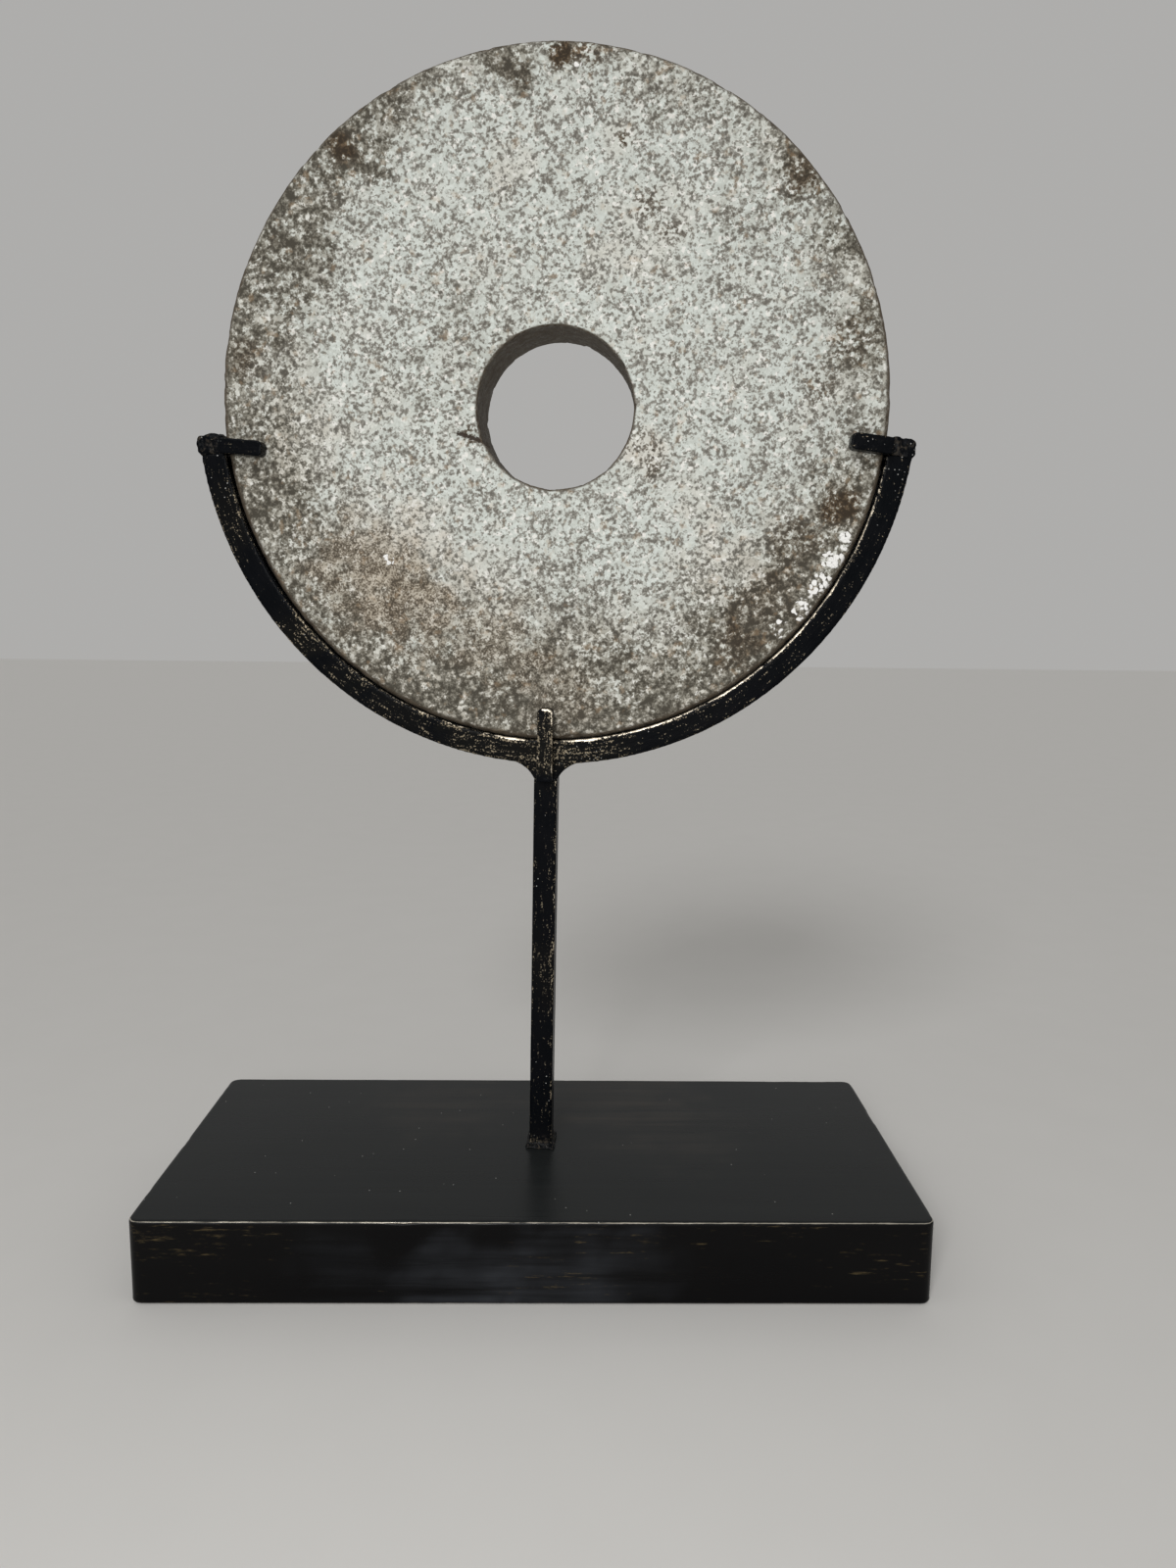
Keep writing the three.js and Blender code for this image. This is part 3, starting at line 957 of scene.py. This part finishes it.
def rounded(points, half_x, half_y, height, corner, edge):
    """A box's skin with its upright corners and then its top and bottom edges rounded."""
    inner = np.array((half_x - corner, half_y - corner))
    middle = np.clip(points[:, :2], -inner, inner)
    outward = points[:, :2] - middle
    ring = abs(outward).max(1)
    length = np.maximum(np.linalg.norm(outward, axis=1), 1e-9)
    direction = outward / length[:, None]
    from_side = corner - ring
    from_face = np.minimum(points[:, 2], height - points[:, 2])
    across = np.clip(edge - from_side, 0, None)
    along = np.clip(edge - from_face, 0, None)
    reach = np.maximum(across, along)
    factor = np.where(reach > 0, reach / np.maximum(np.hypot(across, along), 1e-9), 1)
    both = (across > 0) & (along > 0)
    side = np.where(both, edge - across * factor, from_side)
    face = np.where(both, edge - along * factor, from_face)
    flat = middle + direction * (corner - side)[:, None]
    flat = np.where((ring > 0)[:, None], flat, points[:, :2])
    upper = points[:, 2] > height / 2
    return np.column_stack([flat, np.where(upper, height - face, face)]), np.minimum(across, along) / edge


def stand_base():
    """The base, with rounded and dented edges, and its marks written on its points."""
    low, high = (np.array(corner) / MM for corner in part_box("base"))
    half_x, half_y, _ = (high - low) / 2
    height = high[2] - low[2]
    xs = lines_between(-half_x, half_x, BASE_SPACING)
    ys = lines_between(-half_y, half_y, BASE_SPACING)
    zs = lines_between(0.0, height, BASE_ROW_SPACING)
    points, faces = box_grid(xs, ys, zs)
    places, near_edge = rounded(points, half_x, half_y, height, BASE_CORNER, BASE_EDGE)
    piece = new_object("stand_base", places * MM, faces)
    mesh = piece.data
    normals = normals_of(mesh)
    dents = np.clip(rough(places, 11.0, 3, 6.0) - 0.3, 0, 1) * near_edge * 0.9
    waves = rough(places, 45.0, 2, 2.0) * 0.10
    sink = np.where(places[:, 2] > BASE_REST, dents - waves + 0.08, 0)
    move_points(mesh, (places - normals * sink[:, None]) * MM)
    ragged = rough(places, 14.0) * 0.5
    # The front's edges are worn more than the others, and carry more of the painted highlight
    facing = 0.45 + 0.55 * (places[:, 1] < FRONT_DEPTH - half_y)
    write_numbers(mesh, "edge", near_edge * facing)
    write_numbers(mesh, "painted_reflection", np.clip(patch_sum(places, PAINTED_REFLECTIONS, ragged), 0, 1))
    write_numbers(mesh, "top", soften(normals[:, 2]))
    write_numbers(mesh, "smear", np.clip(patch_sum(places[:, (0, 2, 1)], SMEARS, ragged), 0, 1))
    # The paint's streaks run along each side, so on the two ends they run from front to back
    ends = abs(normals[:, 0]) > 0.7
    write_places(mesh, "way", np.where(ends[:, None], places[:, (1, 0, 2)], places))
    piece.location = Vector(((low[0] + high[0]) / 2, (low[1] + high[1]) / 2, low[2])) * MM
    wear_piece(piece, "base", base_finish())


def studio_floor():
    """A wide pale floor just under the base."""
    half = FLOOR_HALF
    corners = ((-half, -half), (half, -half), (half, half), (-half, half))
    floor = new_object("floor", [(x, y, -FLOOR_DROP) for x, y in corners], [(0, 1, 2, 3)])
    matt = Finish("pale floor")
    mottle = matt.cloud(matt.millimetres(), 30.0)
    tone = matt.mix(mottle, (0.62, 0.61, 0.59, 1), (0.64, 0.63, 0.61, 1))
    floor.data.materials.append(matt.surface(tone, 0.9, matt.relief(mottle, 0.01)))


def lamp(name, kind, aim, power):
    """A lamp of that kind that shines along aim."""
    data = bpy.data.lights.new(name, kind)
    data.energy = power
    made = in_scene(name, data)
    made.rotation_euler = aim.to_track_quat("-Z", "Y").to_euler()
    return made


def studio_light():
    """A small soft lamp beside the eye, a faint wide one from above, and a pale room all round."""
    place = EYE + KEY_FROM_EYE
    middle = (cad_box[0] + cad_box[1]) / 2
    key = lamp("key", "AREA", middle - place, KEY_POWER)
    key.data.size = KEY_SIZE
    key.location = place
    high = lamp("high", "SUN", HIGH_AIM, HIGH_POWER)
    high.data.angle = HIGH_SPREAD
    world = bpy.data.worlds.new("pale room")
    world.use_nodes = True
    background = world.node_tree.nodes["Background"]
    background.inputs["Color"].default_value = ROOM_COLOUR
    background.inputs["Strength"].default_value = ROOM_STRENGTH
    bpy.context.scene.world = world


def aim_camera():
    """The camera at the eye's place, turned down, a little to the right and a little over."""
    data = bpy.data.cameras.new("camera")
    data.sensor_fit = "VERTICAL"
    data.sensor_height = FILM_HEIGHT
    data.lens = FOCAL_PIXELS * FILM_HEIGHT / PHOTO_HEIGHT
    data.clip_start = NEAREST_SEEN
    camera = in_scene("camera", data)
    level = Vector((math.cos(LOOK_RIGHT), -math.sin(LOOK_RIGHT), 0))
    flat = math.cos(LOOK_DOWN)
    ahead = Vector((math.sin(LOOK_RIGHT) * flat, math.cos(LOOK_RIGHT) * flat, -math.sin(LOOK_DOWN)))
    above = level.cross(ahead)
    right = math.cos(ROLL) * level + math.sin(ROLL) * above
    up = math.cos(ROLL) * above - math.sin(ROLL) * level
    turned = Matrix((right, up, -ahead)).transposed().to_4x4()
    camera.matrix_world = Matrix.Translation(EYE) @ turned
    bpy.context.scene.camera = camera


bpy.context.scene.view_settings.view_transform = "Standard"
placement = upper_placement()
stone_disc(placement)
stand(placement)
stand_base()
studio_floor()
studio_light()
aim_camera()
